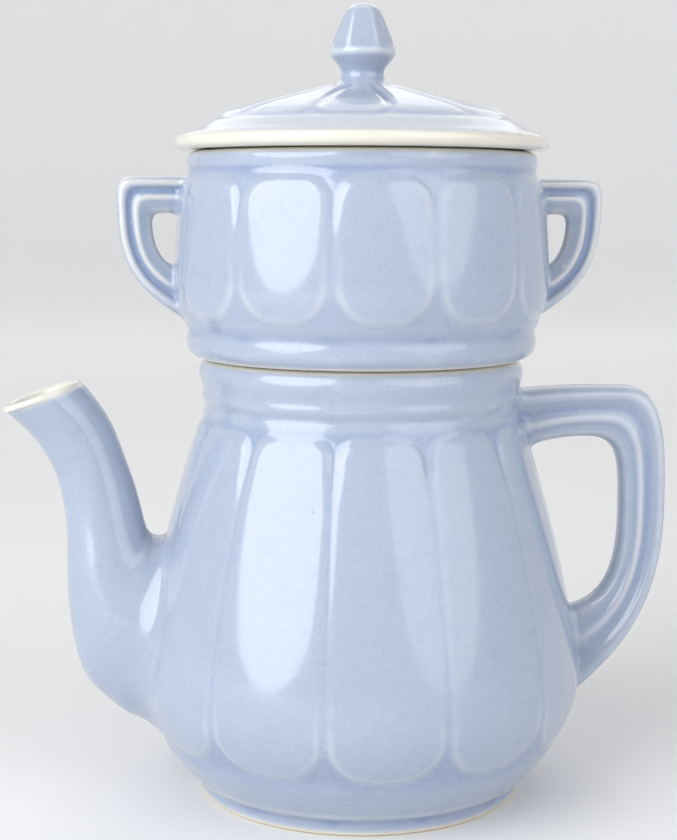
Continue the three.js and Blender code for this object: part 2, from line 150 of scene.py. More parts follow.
# A curve through all the points, stepped evenly
def smoothLine(points, spacing=1.2, closed=False):
    p = np.asarray(points, float)
    ends = [p[-1:], p, p[:2]] if closed else [2 * p[:1] - p[1:2], p, 2 * p[-1:] - p[-2:-1]]
    p = np.concatenate(ends)
    out = []
    for a, b, c, d in zip(p, p[1:], p[2:], p[3:]):
        ab, bc, cd = (max(np.linalg.norm(v), 1e-6) ** 0.5 for v in (b - a, c - b, d - c))
        leave = (c - b) + bc * ((b - a) / ab - (c - a) / (ab + bc))
        arrive = (c - b) + bc * ((d - c) / cd - (d - b) / (bc + cd))
        t = np.linspace(0, 1, 13)[:-1, None]
        out.append((2 * t**3 - 3 * t**2 + 1) * b + (t**3 - 2 * t**2 + t) * leave
                   + (3 * t**2 - 2 * t**3) * c + (t**3 - t**2) * arrive)
    out.append(p[-2][None, :])
    line = np.concatenate(out)
    return evenly(line, max(3, round(distances(line)[-1] / spacing) + 1))


# Pulls one point along a profile and spins it about the axis, as on a wheel
def throw(name, profile, columns):
    clearSelection()
    bpy.ops.mesh.primitive_plane_add(size=mm)
    piece = bpy.context.object
    piece.name = piece.data.name = name
    bpy.ops.object.mode_set(mode="EDIT")
    bpy.ops.mesh.select_all(action="SELECT")
    bpy.ops.mesh.merge(type="CENTER")
    line = [Vector((r, 0, z)) * mm for r, z in profile]
    bpy.ops.transform.translate(value=line[0])
    for before, after in zip(line, line[1:]):
        bpy.ops.mesh.extrude_region_move(TRANSFORM_OT_translate={"value": after - before})
    bpy.ops.mesh.select_all(action="SELECT")
    bpy.ops.mesh.spin(steps=columns, angle=2 * math.pi, center=(0, 0, 0), axis=(0, 0, 1))
    bpy.ops.mesh.select_all(action="SELECT")
    bpy.ops.mesh.remove_doubles(threshold=0.01 * mm)
    bpy.ops.mesh.normals_make_consistent(inside=False)
    clearSelection()
    return piece


# Lays a grid over rings of points and joins its long edges. The ends are closed, or joined where the run is closed
def wrap(name, rings, closedRun=False):
    rings = np.asarray(rings, float) * mm
    if closedRun:
        rings = np.concatenate([rings, rings[:1]])
    rings = np.concatenate([rings, rings[:, :1]], axis=1)
    rows, columns = rings.shape[:2]
    clearSelection()
    bpy.ops.mesh.primitive_grid_add(x_subdivisions=columns - 1, y_subdivisions=rows - 1, size=1)
    piece = bpy.context.object
    piece.name = piece.data.name = name
    putPlaces(piece, rings.reshape(-1, 3))
    bpy.ops.object.mode_set(mode="EDIT")
    bpy.ops.mesh.select_all(action="SELECT")
    bpy.ops.mesh.remove_doubles(threshold=0.002 * mm)
    if not closedRun:
        bpy.ops.mesh.fill_holes(sides=0)
    bpy.ops.mesh.select_all(action="SELECT")
    bpy.ops.mesh.normals_make_consistent(inside=False)
    clearSelection()
    return piece


def drill(piece, cutter):
    pick(piece)
    cut = piece.modifiers.new("drill", "BOOLEAN")
    cut.operation = "DIFFERENCE"
    cut.solver = "EXACT"
    cut.object = cutter
    bpy.ops.object.modifier_apply(modifier=cut.name)
    bpy.data.objects.remove(cutter)
    clearSelection()


# Round pins for the holes of a strainer, in rings round the middle
def strainerDrill(low, high, innermost, hole):
    clearSelection()
    for ring in range(innermost, hole["rings"] + 1):
        count = max(1, 6 * ring)
        for i in range(count):
            angle = 2 * math.pi * i / count
            place = Vector((math.cos(angle), math.sin(angle), 0)) * ring * hole["pitch"] * mm
            place.z = (low + high) / 2 * mm
            bpy.ops.mesh.primitive_cylinder_add(vertices=hole["sides"], radius=hole["diameter"] / 2 * mm,
                                                depth=(high - low) * mm, location=place)
            bpy.context.object["pin"] = 1
    pins = [o for o in bpy.data.objects if "pin" in o]
    for pin in pins:
        pin.select_set(True)
    bpy.context.view_layer.objects.active = pins[0]
    bpy.ops.object.join()
    cutter = bpy.context.object
    bpy.ops.object.transform_apply(location=True, rotation=True, scale=True)
    clearSelection()
    return cutter


panels = {"count": 12, "gutter": 0.6, "shoulder": 3.4, "flat": 0.12, "settle": 0.05}


# Degrees from the middle of the nearest panel
def inPanel(angle, turn=0.0):
    pitch = 360 / panels["count"]
    return (np.degrees(angle) - turn + pitch / 2) % pitch - pitch / 2


# Draws the columns together towards the gutters between the panels
def crowd(piece, turn=0.0, share=0.55):
    points = places(piece)
    radius, angle = polar(points)
    count = panels["count"]
    start = angle - math.radians(turn)
    angle = math.radians(turn) + start + share / count * np.sin(count * start)
    points[:, 0], points[:, 1] = radius * np.cos(angle), radius * np.sin(angle)
    putPlaces(piece, points)


# 0 in the gutter and 1 on the face, by the distance in from a panel's edge
def rise(inside):
    gutter, shoulder = panels["gutter"], panels["shoulder"]
    share = np.clip((inside + gutter) / (shoulder + gutter), 0, 1)
    return soften(1 - (1 - share) ** 1.5)  # steeper at the gutter


# The outline's radius at a height
def outlineAt(height, outline):
    return np.interp(height, outline[:, 1], outline[:, 0])


# Distance in from an edge that turns a rounded corner
def insideCorner(side, end, corner):
    a, b = corner - side, corner - end
    near = np.minimum(side, end)
    return np.where((a > 0) & (b > 0), corner - np.hypot(a, b), near)


# Distance in from the edge of one of the wall's panels
def insidePanel(offset, radius, height, shape):
    half = 180 / panels["count"]
    across = np.abs(offset) / half
    side = np.radians(half - np.abs(offset)) * radius - panels["gutter"]
    top = shape["panelTop"] - shape["topBow"] * across**2 - height
    bottom = height - shape["panelBottom"] - shape["bottomBow"] * across**2
    return np.minimum(insideCorner(side, top, shape["topCorner"]),
                      insideCorner(side, bottom, shape["bottomCorner"]))


# How far the moulded wall stands out from its turned outline; the relief is shallower below its crisp top
def wallRelief(offset, radius, height, shape):
    low, high = shape["panelBottom"], shape["panelTop"]
    inside = insidePanel(offset, radius, height, shape)
    zone = ease(height, low - shape["fade"], low + 2) * (1 - ease(height, high - 2, high + shape["fade"]))
    soft = shape["softShare"]
    ends = 1 - ease(height, low + 2, low + 14) * (1 - ease(height, high - shape["crispTop"], high - 4))
    depth = shape["depth"] * (soft + (1 - soft) * ends)
    face = panels["flat"] * (offset * panels["count"] / 180) ** 2 - panels["settle"]
    return zone * (rise(inside) * (depth + face) - depth)


# Glaze thins in a pale line over a panel's edge, most at its foot, and pools outside it
def panelGlaze(points, wall, shape, base=0.0):
    radius, angle = polar(points)
    height = points[:, 2] - base
    outer = np.abs(radius - outlineAt(points[:, 2], wall)) < 2.2
    inside = insidePanel(inPanel(angle), radius, height, shape)
    low, high = shape["panelBottom"], shape["panelTop"]
    zone = ease(height, low - 9, low - 1) * (1 - ease(height, high, high + 4)) * outer
    foot = 1 - ease(height, low + 8, low + 30)
    edge = ridge(inside, 1.5, shape["edgeWide"]) * shape["edgePale"] * (0.35 + 0.65 * foot)
    between = (1 - ease(inside, -1.2, 0.9)) * shape["between"]
    return zone * (between - edge)


# Marks where glaze pools in hollows (+1) or thins over edges (-1), adding any painted shade given for hollows, where
# clay is bare, and where cream shows
def layGlaze(piece, bare=None, warm=None, settle=5, fine=330.0, poolAndShade=None):
    mesh = piece.data
    count = len(mesh.vertices)
    points = places(piece)
    edges = np.empty(len(mesh.edges) * 2, int)
    mesh.edges.foreach_get("vertices", edges)
    a, b = edges.reshape(-1, 2).T
    normals = np.empty(count * 3)
    mesh.vertex_normals.foreach_get("vector", normals)
    normals = normals.reshape(-1, 3)
    degree = np.maximum(np.bincount(a, minlength=count) + np.bincount(b, minlength=count), 1)
    step = points[b] - points[a]
    square = (step**2).sum(1)
    pull = np.bincount(a, (step * normals[a]).sum(1), count) - np.bincount(b, (step * normals[b]).sum(1), count)
    spread = np.bincount(a, square, count) + np.bincount(b, square, count)
    bend = np.clip(2 * pull / np.maximum(spread, 1e-12), -2000, 2000)
    for _ in range(settle):
        near = (np.bincount(a, bend[b], count) + np.bincount(b, bend[a], count)) / degree
        bend = (bend + near) / 2
    bend = bend / fine + (poolAndShade(points / mm) if poolAndShade else 0)
    mark = mesh.attributes.new("glazePoolAndShade", "FLOAT", "POINT")
    mark.data.foreach_set("value", np.clip(bend, -1.5, 1.5).astype(np.float32))
    for label, rule in (("bareClay", bare), ("creamEdge", warm)):
        value = rule(points / mm) if rule else np.zeros(count)
        mark = mesh.attributes.new(label, "FLOAT", "POINT")
        mark.data.foreach_set("value", np.clip(value, 0, 1).astype(np.float32))


# Gives a piece its material and its body, and hides the node it stands for
def finished(piece, body, node, material, smooth=50):
    pick(piece)
    bpy.ops.object.shade_smooth_by_angle(angle=math.radians(smooth))
    piece.data.materials.clear()
    piece.data.materials.append(material)
    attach(piece, body)
    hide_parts(node)
    clearSelection()
    print("made", piece.name, len(piece.data.vertices), "points")


# A colour as mixed on a screen, 0 to 255, turned into light
def tone(red, green, blue):
    def light(v):
        v /= 255
        return v / 12.92 if v <= 0.04045 else ((v + 0.055) / 1.055) ** 2.4
    return (light(red), light(green), light(blue), 1)


class Wire:
    def __init__(self, kitchen, socket):
        self.kitchen, self.socket = kitchen, socket

    def sum(self, operation, *values):
        return self.kitchen.add("ShaderNodeMath", {"operation": operation}, dict(enumerate(values)))

    def __add__(self, other):
        return self.sum("ADD", self, other)

    def __sub__(self, other):
        return self.sum("SUBTRACT", self, other)

    def __rsub__(self, other):
        return self.sum("SUBTRACT", other, self)

    def __mul__(self, other):
        return self.sum("MULTIPLY", self, other)

    __radd__, __rmul__ = __add__, __mul__

    def above(self, low, high):
        return self.kitchen.add("ShaderNodeMapRange", {"interpolation_type": "SMOOTHSTEP"},
                                {"Value": self, "From Min": low, "From Max": high})

    def most(self, other):
        return self.sum("MAXIMUM", self, other)


# Mixes one finish out of nodes
class Kitchen:
    def __init__(self, name):
        self.material = bpy.data.materials.new(name)
        self.material.use_nodes = True
        self.tree = self.material.node_tree
        self.tree.nodes.clear()

    def add(self, kind, settings, sockets, output=0):
        node = self.tree.nodes.new(kind)
        for name, value in settings.items():
            setattr(node, name, value)
        for name, value in sockets.items():
            if isinstance(value, Wire):
                self.tree.links.new(value.socket, node.inputs[name])
            else:
                node.inputs[name].default_value = value
        return None if output is None else Wire(self, node.outputs[output])

    def mix(self, share, under, over):
        return self.add("ShaderNodeMix", {"data_type": "RGBA"}, {0: share, 6: under, 7: over}, 2)

    def mark(self, name):
        return self.add("ShaderNodeAttribute", {"attribute_name": name}, {}, 2)

    def noise(self, where, scale, detail=2.0, rough=0.5):
        return self.add("ShaderNodeTexNoise", {},
                        {"Vector": where, "Scale": scale, "Detail": detail, "Roughness": rough})

    # Small round spots, one in the middle of each cell
    def spots(self, where, scale, low, high):
        near = self.add("ShaderNodeTexVoronoi", {}, {"Vector": where, "Scale": scale, "Randomness": 1.0})
        return 1 - near.above(low, high)


glaze = {
    "deep": tone(124, 141, 176),  # where it pools, and painted shade in the vessel's hollows
    "body": tone(154, 166, 187),
    "thin": tone(191, 198, 208),  # over edges
    "cream": tone(214, 211, 200),  # clay showing through
    "clay": tone(226, 212, 184),  # unglazed
    "speck": tone(95, 100, 118),
    "roughness": 0.13,
    "clayRoughness": 0.75,
    "coat": 0.5,
    "coatRoughness": 0.05,
    "ior": 1.5,
    "broad": 28,  # scales of the glaze's waviness, clouds and grain, and of its specks and dust
    "cloud": 130,
    "grain": 900,
    "specks": 95,
    "dust": 260,
    "bump": 0.35,  # millimetres
}


def glazed(name, values):
    k = Kitchen(name)
    where = k.add("ShaderNodeTexCoord", {}, {}, 3)
    poolAndShadeMark, bare, cream = k.mark("glazePoolAndShade"), k.mark("bareClay"), k.mark("creamEdge")
    broad = k.noise(where, values["broad"])
    cloud = k.noise(where, values["cloud"], 3.0, 0.6)
    grain = k.noise(where, values["grain"], 2.0, 0.6)
    # This carries pooled glaze and thin edges, and the painted shade of the vessel's hollows
    flowAndShade = poolAndShadeMark + (broad - 0.5) * 0.3 + (cloud - 0.5) * 0.2
    hollow = flowAndShade.above(0.0, 1.15)
    edge = (flowAndShade * -1).above(0.12, 1.0)
    colour = k.mix(hollow, values["body"], values["deep"])
    colour = k.mix(edge * 0.75, colour, values["thin"])
    colour = k.mix((grain - 0.5).above(-0.3, 0.35) * 0.18, colour, values["thin"])
    colour = k.mix((cloud - 0.5).above(0.0, 0.3) * 0.16, colour, values["deep"])
    sharp = (poolAndShadeMark * -1 + (cloud - 0.5) * 0.5).above(0.85, 1.4)
    colour = k.mix((cream + (cloud - 0.5) * 0.6 * cream).most(sharp * 0.55), colour, values["cream"])
    speck = k.spots(where, values["specks"], 0.018, 0.034) * k.noise(where, 60, 0.0).above(0.48, 0.56)
    dust = k.spots(where, values["dust"], 0.03, 0.06) * k.noise(where, 210, 0.0).above(0.52, 0.6)
    colour = k.mix(speck * 0.8, colour, values["speck"])
    colour = k.mix(dust * 0.35, colour, values["deep"])
    colour = k.mix(bare, colour, values["clay"])
    roughness = bare * (values["clayRoughness"] - values["roughness"]) + (cloud * 0.04 + values["roughness"])
    height = broad * 0.5 + cloud * 0.09 + grain * (bare * 0.05 + 0.006) - speck * 0.05
    bump = k.add("ShaderNodeBump", {}, {"Strength": 1.0, "Distance": values["bump"] * mm, "Height": height})
    shader = k.add("ShaderNodeBsdfPrincipled", {}, {
        "Base Color": colour, "Roughness": roughness, "IOR": values["ior"], "Normal": bump,
        "Coat Weight": (1 - bare) * values["coat"], "Coat Roughness": values["coatRoughness"],
        "Coat IOR": values["ior"]})
    k.add("ShaderNodeOutputMaterial", {}, {"Surface": shader}, None)
    return k.material


blueGlaze = glazed("blueGlaze", glaze)
creamGlaze = glazed("creamGlaze", {
    **glaze, "deep": tone(206, 196, 168), "body": tone(228, 221, 200), "thin": tone(238, 233, 217)})


pot = {
    "columns": 300, "wall": 4.2, "floor": 6, "footRadius": 53.7, "footHeight": 5.5, "footRing": 5, "recess": 1.5,
    "heelRadius": 57.4, "heelRise": 1.6, "bellyRadius": 73, "bellyHeight": 38, "neckRadius": 51.2, "neckDrop": 15,
    "rimRadius": 53.1, "mouthRadius": 46.3, "boreWidth": 20, "boreLow": 34, "boreHigh": 68,
    "panelBottom": 21.5, "panelTop": 124, "bottomBow": 4.5, "topBow": 1.0, "bottomCorner": 9, "topCorner": 6,
    "fade": 5, "depth": 1.1, "softShare": 0.14, "crispTop": 21, "edgeWide": 1.2, "edgePale": 0.5,
    "between": 0.55,
}


def potFlank(inset):
    heelHeight = pot["footHeight"] + pot["heelRise"] + inset
    heel, belly, neck = (pot[k] - inset for k in ("heelRadius", "bellyRadius", "neckRadius"))
    bellyHeight, neckHeight = pot["bellyHeight"], potRim - pot["neckDrop"]
    spring, flank = 0.4 * (bellyHeight - heelHeight), neckHeight - bellyHeight
    lower = bezier([(heel, heelHeight), (heel + 4.6, heelHeight + 4.4),
                    (belly, bellyHeight - spring), (belly, bellyHeight)], 40)
    upper = bezier([(belly, bellyHeight), (belly, bellyHeight + 0.2 * flank),
                    (neck + 8, neckHeight - 0.23 * flank), (neck, neckHeight)], 90)
    return joined(lower, upper)


def potOutside():
    foot, recess, rim, neck = (pot[k] for k in ("footRadius", "recess", "rimRadius", "neckRadius"))
    ring = foot - pot["footRing"]
    under = smoothLine([
        (0, recess), (20, recess), (40, recess), (ring - 0.9, recess), (ring + 0.3, 0.9), (ring + 1.1, 0.1),
        (ring + 2, 0), (foot - 1.6, 0), (foot - 0.5, 0.4), (foot - 0.05, 1.4), (foot, 3.4), (foot + 0.35, 4.9),
        (foot + 1.5, 5.9), (foot + 2.9, 6.35), (foot + 3.7, 7.1)], 0.8)
    under[:, 1] = np.maximum(under[:, 1], 0)
    top = smoothLine([
        (neck, potRim - pot["neckDrop"]), (neck + 0.5, potRim - 13.8), (neck + 0.95, potRim - 12.6),
        (neck + 1.0, potRim - 11.4), (neck + 0.85, potRim - 10.2), (neck + 1.0, potRim - 9),
        (rim - 0.55, potRim - 7.6), (rim - 0.1, potRim - 5.8), (rim + 0.05, potRim - 4.2),
        (rim - 0.3, potRim - 2.6), (rim - 1.1, potRim - 1.1), (rim - 2.2, potRim - 0.2), (rim - 3, potRim)], 0.55)
    return joined(under, evenly(potFlank(0), 110), top)


def potInside():
    floor, mouth = pot["floor"], pot["mouthRadius"]
    flank = potFlank(pot["wall"])
    flank = flank[flank[:, 1] > floor + 5]
    corner = flank[0][0]
    turn = smoothLine([(pot["rimRadius"] - 3, potRim), (mouth + 1.4, potRim), (mouth + 0.4, potRim - 0.5),
                       (mouth, potRim - 1.6), (mouth, potRim - 13)], 1.2)
    low = smoothLine([flank[0], (corner - 2.6, floor + 1.6), (corner - 7, floor), (30, floor), (0, floor)], 2.5)
    return joined(turn, evenly(flank[::-1], 60), low)


potLine = potOutside()
potWall = potLine[np.argmax(potLine[:, 1] > 6.5):]


# The moulded outsides of the pot and the vessel, as a radius
def potRadius(angle, height):
    radius = outlineAt(height, potWall)
    return radius + wallRelief(inPanel(angle), radius, height, pot)


def vesselRadius(angle, height):
    radius = outlineAt(height, vesselWall)
    return radius + wallRelief(inPanel(angle), radius, height - vesselSeat, vessel)


# Presses the panels into a turned wall
def pressWall(piece, outline, radiusOf):
    points = places(piece) / mm
    radius, angle = polar(points)
    outer = np.abs(radius - outlineAt(points[:, 2], outline)) < 0.4
    outer &= (points[:, 2] > outline[0, 1]) & (points[:, 2] < outline[-1, 1])
    out = np.where(outer, radiusOf(angle, points[:, 2]), radius)
    share = np.where(radius > 1e-6, out / np.maximum(radius, 1e-6), 1)
    points[:, :2] *= share[:, None]
    putPlaces(piece, points * mm)


potBody = throw("potBody", joined(potLine, potInside()), pot["columns"])
crowd(potBody)
pressWall(potBody, potWall, potRadius)


# The oval hole through the wall behind the spout
def boreCutter():
    clearSelection()
    low, high, wide = pot["boreLow"], pot["boreHigh"], pot["boreWidth"]
    place = Vector((-pot["bellyRadius"], 0, (low + high) / 2)) * mm
    bpy.ops.mesh.primitive_cylinder_add(vertices=48, radius=0.5 * mm, depth=40 * mm, location=place,
                                        rotation=(0, math.pi / 2, 0))
    cutter = bpy.context.object
    cutter.scale = (high - low, wide, 1)
    bpy.ops.object.transform_apply(location=True, rotation=True, scale=True)
    return cutter


drill(potBody, boreCutter())


# The point of the wall beside a point, so far proud of it
def onWall(point, radiusOf, proud):
    angle = math.atan2(point[1], point[0])
    radius = float(radiusOf(np.array(angle), np.array(point[2]))) + proud
    return np.array([radius * math.cos(angle), radius * math.sin(angle), point[2]])


def wallNormal(point, radiusOf):
    angle = math.atan2(point[1], point[0])
    above, below = (float(radiusOf(np.array(angle), np.array(point[2] + step))) for step in (0.5, -0.5))
    normal = np.array([math.cos(angle), math.sin(angle), below - above])
    return normal / np.linalg.norm(normal)


# How far the lines stand off the wall
def standOff(line, radiusOf):
    radius, angle = polar(line)
    return radius - radiusOf(angle, line[:, 2])


fillet = {"proud": -0.04, "skirt": 0.6, "sunk": -1.3, "lean": 0.35, "steps": 9}


# Runs each line down to the wall in a soft fillet, as clay is smoothed round a root. Lines start inside the wall.
# The fillet leaves a line at its reach from the wall, and lands its spread away from where the line comes out
def faired(lines, radiusOf, reachAt, spreadAt):
    out = []
    middle = lines.mean(axis=0)
    lean = fillet["lean"]
    for line in lines:
        gap = standOff(line, radiusOf)
        first = int(np.argmax(gap > 0))
        share = -gap[first - 1] / (gap[first] - gap[first - 1])
        meet = line[first - 1] + share * (line[first] - line[first - 1])
        run = np.concatenate([[meet], line[first:]])
        far, reach, spread = distances(run), reachAt(meet), spreadAt(meet)
        leave = np.array([np.interp(reach, far, run[:, i]) for i in range(3)])
        normal = wallNormal(meet, radiusOf)
        away = meet - middle[first]
        away = away - normal * away.dot(normal)
        away /= np.linalg.norm(away)
        land = onWall(meet + away * spread, radiusOf, fillet["proud"])
        sunk = onWall(meet + away * (spread + fillet["skirt"]), radiusOf, fillet["sunk"])
        knee = onWall(meet, radiusOf, 0.0)
        soft = bezier([land, land * lean + knee * (1 - lean), leave * lean + knee * (1 - lean), leave],
                      fillet["steps"])
        out.append((np.concatenate([[sunk], soft]), np.concatenate([[leave], run[far > reach]])))
    return out


spout = {
    "wall": 3.6, "lipOut": 31.2, "lipHeight": 132.3, "lipDepth": 26.7, "lipTilt": 19.7, "lipWidth": 25,
    "throatDepth": 23, "throatWidth": 20, "rootLow": 22.5, "rootHigh": 84, "rootWidth": 40,
    "sides": 96, "rings": 110,
}
spoutUp = np.array([-math.sin(math.radians(spout["lipTilt"])), 0, math.cos(math.radians(spout["lipTilt"]))])


# The spout's cross-sections from root to lip
def spoutStations():
    low, high, rootWidth, throat, throatWidth, lip, lipDepth, lipTilt, lipWidth = (spout[k] for k in (
        "rootLow", "rootHigh", "rootWidth", "throatDepth", "throatWidth", "lipHeight", "lipDepth", "lipTilt",
        "lipWidth"))
    middle, depth = (low + high) / 2, high - low
    return np.array([  # out, height, depth, tilt, width
        (-21, middle, depth, 90, rootWidth),
        (-4.5, middle, depth, 85, rootWidth),
        (4.5, middle + 6, depth - 5, 74, rootWidth - 5),
        (9, middle + 12.8, depth - 11, 64, rootWidth - 9),
        (11.4, middle + 26, throat + 15, 50, throatWidth + 6),
        (12.5, middle + 41.7, throat + 3.5, 32, throatWidth + 1.5),
        (15.3, lip - 24.8, throat, 18, throatWidth),
        (19.7, lip - 14.2, throat + 0.8, 19, throatWidth + 1),
        (24.9, lip - 6.7, lipDepth - 1.7, lipTilt, lipWidth - 2),
        (spout["lipOut"], lip, lipDepth, lipTilt, lipWidth),
    ])


# An even-stepped smooth run through the points
def spline(points, count):
    p = np.asarray(points, float)
    p = np.concatenate([p[:1], p, p[-1:]])
    t = np.linspace(0, len(points) - 1, count)
    i = np.minimum(t.astype(int), len(points) - 2)
    f = (t - i)[:, None]
    a, b, c, d = p[i], p[i + 1], p[i + 2], p[i + 3]
    v0, v1 = (c - a) / 2, (d - b) / 2
    return (2 * b - 2 * c + v0 + v1) * f**3 + (-3 * b + 3 * c - 2 * v0 - v1) * f**2 + v0 * f + b


# Lines along the spout, spaced round it, at an inset from its outside
def spoutLines(inset, stations, count):
    out, height, depth, tilt, width = stations.T
    tilt = np.radians(tilt)
    middle = np.stack([-(pot["bellyRadius"] + out), height], 1)
    half = np.stack([np.cos(tilt), np.sin(tilt)], 1) * (depth / 2 - inset)[:, None]
    upper, under = spline(middle + half, count), spline(middle - half, count)
    widths = spline((width / 2 - inset)[:, None], count)[:, 0]
    around = 2 * np.pi * np.arange(spout["sides"]) / spout["sides"]
    lines = np.empty((len(around), count, 3))
    for i, angle in enumerate(around):
        share = (1 + math.cos(angle)) / 2
        flat = upper * share + under * (1 - share)
        lines[i] = np.stack([flat[:, 0], math.sin(angle) * widths, flat[:, 1]], 1)
    return lines


# The root's fillet is wider below than above
def spoutReach(meet):
    return 5 + 5 * ease(80 - meet[2], 0, 25)


def spoutSpread(meet):
    return 3.2 + 3.4 * ease(80 - meet[2], 0, 25)


def makeSpout():
    stations = spoutStations()
    inner = spoutLines(spout["wall"], stations[1:], 360)
    softened = faired(spoutLines(0, stations, 400), potRadius, spoutReach, spoutSpread)
    rows = []
    up, outDepth, inDepth = spoutUp, 1.2, 1.6  # the lip's rounding starts this far below its top
    for (soft, rest), inside in zip(softened, inner):
        inside = inside[int(np.argmax(standOff(inside, potRadius) > -1.6)):]
        lipOut, lipIn = rest[-1], inside[-1]
        across = lipIn - lipOut
        lip = bezier([lipOut - up * outDepth, lipOut + up * 0.5 - across * 0.04, lipOut + up * 0.9 + across * 0.25,
                      lipIn + up * 0.9 - across * 0.3, lipIn + up * 0.2 + across * 0.02, lipIn - up * inDepth], 9)
        keep = rest[(rest - lipOut) @ up < -outDepth]
        keepIn = inside[(inside - lipIn) @ up < -inDepth]
        rows.append(np.concatenate([soft, evenly(keep, spout["rings"])[1:], lip, evenly(keepIn[::-1], 46)]))
    return wrap("potSpout", np.stack(rows, 1), closedRun=True)


potSpout = makeSpout()


# Lines along a bar between its inner and outer rails, one for each point of its section
def barLines(inner, outer, section, halfWidth):
    lines = np.empty((len(section), len(inner), 3))
    for i, (u, v) in enumerate(section):
        flat = inner + (outer - inner) * (u + 1) / 2
        lines[i] = np.stack([flat[:, 0], np.full(len(flat), v * halfWidth), flat[:, 1]], 1)
    return lines


# A bar's closed section from one side's points, outer edge to inner edge
def sectionOf(side, count):
    near = [(u, -v) for u, v in reversed(side[1:-1])]
    line = smoothLine(list(side) + near, 0.02, closed=True)
    return evenly(np.concatenate([line, line[:1]]), count + 1)[:-1]


def makeBar(name, rails, bar, radiusOf):
    reach, spread = bar["rootReach"], bar["rootSpread"]
    lines = barLines(*rails, sectionOf(bar["side"], bar["sides"]), bar["width"] / 2)
    low, high = (faired(run, radiusOf, lambda meet: reach, lambda meet: spread) for run in (lines, lines[:, ::-1]))
    rows = []
    for (softLow, restLow), (softHigh, restHigh), line in zip(low, high, lines):
        begin, end = restLow[0], restHigh[0]
        a = int(np.argmin(np.linalg.norm(line - begin, axis=1)))
        b = int(np.argmin(np.linalg.norm(line - end, axis=1)))
        between = np.concatenate([[begin], line[a + 1:b], [end]])
        rows.append(np.concatenate([softLow, evenly(between, bar["rings"])[1:-1], softHigh[::-1]]))
    return wrap(name, np.stack(rows, 1))


handle = {
    "reach": handleReach - 1.4, "depth": 15.2, "width": 15, "topDrop": 9.9, "topDepth": 17.2, "bendHeight": 97,
    "rootLow": 28.5, "rootHigh": 59.5, "buried": 6, "rootReach": 3.6, "rootSpread": 3.0, "rings": 150, "sides": 84,
    "side": [(1, 0), (0.985, 0.34), (0.93, 0.63), (0.84, 0.84), (0.72, 0.94), (0.58, 0.94), (0.44, 0.86), (0.3, 0.76),
             (0.16, 0.71), (0.04, 0.73), (-0.08, 0.81), (-0.2, 0.86), (-0.33, 0.83), (-0.46, 0.74), (-0.62, 0.69),
             (-0.78, 0.62), (-0.9, 0.48), (-0.975, 0.27), (-1, 0)],
}


# Curves that meet end to end, each as its four points
def rail(*stretches, steps=(120, 120, 120)):
    return joined(*(bezier(points, count) for points, count in zip(stretches, steps)))


def handleRails():
    rootLow, rootHigh, bend = handle["rootLow"], handle["rootHigh"], handle["bendHeight"]
    reach, buried, top = handle["reach"], handle["buried"], potRim - handle["topDrop"]
    gapTop, gap = top - handle["topDepth"], reach - handle["depth"]
    low, high, neck = (float(outlineAt(z, potWall)) for z in (rootLow, rootHigh, gapTop))
    outer = rail(
        [(low - buried, rootLow - buried), (low + 21, rootLow + 14.5), (reach + 0.8, rootLow + 33), (reach, bend)],
        [(reach, bend), (reach, bend + 21), (reach - 1.7, top), (reach - 14.7, top)],
        [(reach - 14.7, top), (reach - 26, top + 0.4), (neck + 12, top + 0.4),
         (pot["neckRadius"] - buried, top - 1.5)])
    inner = rail(
        [(high - buried, rootHigh - 1.5), (high + 13.5, rootHigh - 1), (gap + 0.4, rootHigh + 10), (gap, bend - 4)],
        [(gap, bend - 4), (gap, gapTop - 6), (gap - 1.4, gapTop), (gap - 12.4, gapTop)],
        [(gap - 12.4, gapTop), (neck + 12, gapTop), (neck + 3, gapTop - 1), (neck - buried, gapTop - 7)])
    return inner, outer


potHandle = makeBar("potHandle", handleRails(), handle, potRadius)
print("pot pieces shaped")


vessel = {
    "columns": 300, "wall": 4, "floor": 5, "seatRadius": 53.4, "baseRadius": 57, "baseHeight": 10.2,
    "wallRadius": 60.5, "rimRadius": 56.2, "collarDepth": 9, "collarWall": 3.5, "collarRadius": 45.3,
    "ledgeDrop": 14.5, "ledgeWidth": 3.5, "ledgeThickness": 4,
    "outline": [  # radius, and height over the seat
        (55.6, 1.4), (56.9, 3.4), (57.1, 5.2), (57.05, 6.8), (56.8, 8.2), (56.85, 9.4), (57.5, 10.8), (58.5, 12.4),
        (59.5, 14.6), (60.3, 18), (60.75, 22), (60.85, 28), (60.7, 34), (60.35, 41), (59.95, 46.5), (59.4, 51),
        (58.8, 54.2), (58, 56.8), (57.1, 58.4), (56.5, 59.6), (56.3, 60.8), (56.4, 62), (56.6, 63.2)],
    "panelBottom": 13, "panelTop": 58.5, "bottomBow": 3, "topBow": 1.2, "bottomCorner": 10, "topCorner": 8,
    "fade": 3, "depth": 0.8, "softShare": 0.2, "crispTop": 19, "edgeWide": 1.9, "edgePale": 0.42, "between": 0.38,
}
holes = {"diameter": 3.2, "pitch": 12, "rings": 3, "sides": 20}


# The underside of the floor, and the collar that drops into the pot's mouth
def vesselUnderside():
    seat, collar = vesselSeat, vessel["collarRadius"]
    foot, throat = seat - vessel["collarDepth"], collar - vessel["collarWall"]
    middle = smoothLine([(0, seat), (throat - 1, seat), (throat - 0.2, seat - 0.5), (throat, seat - 1.6),
                         (throat, foot + 1), (throat + 0.9, foot)], 1.6)
    edge = smoothLine([(throat + 0.9, foot), (collar - 0.9, foot), (collar - 0.2, foot + 0.5), (collar, foot + 1.5),
                       (collar, seat - 1.4), (collar + 0.3, seat - 0.3), (collar + 1.2, seat),
                       (vessel["seatRadius"] - 1.3, seat)], 0.9)
    return joined(middle, edge)


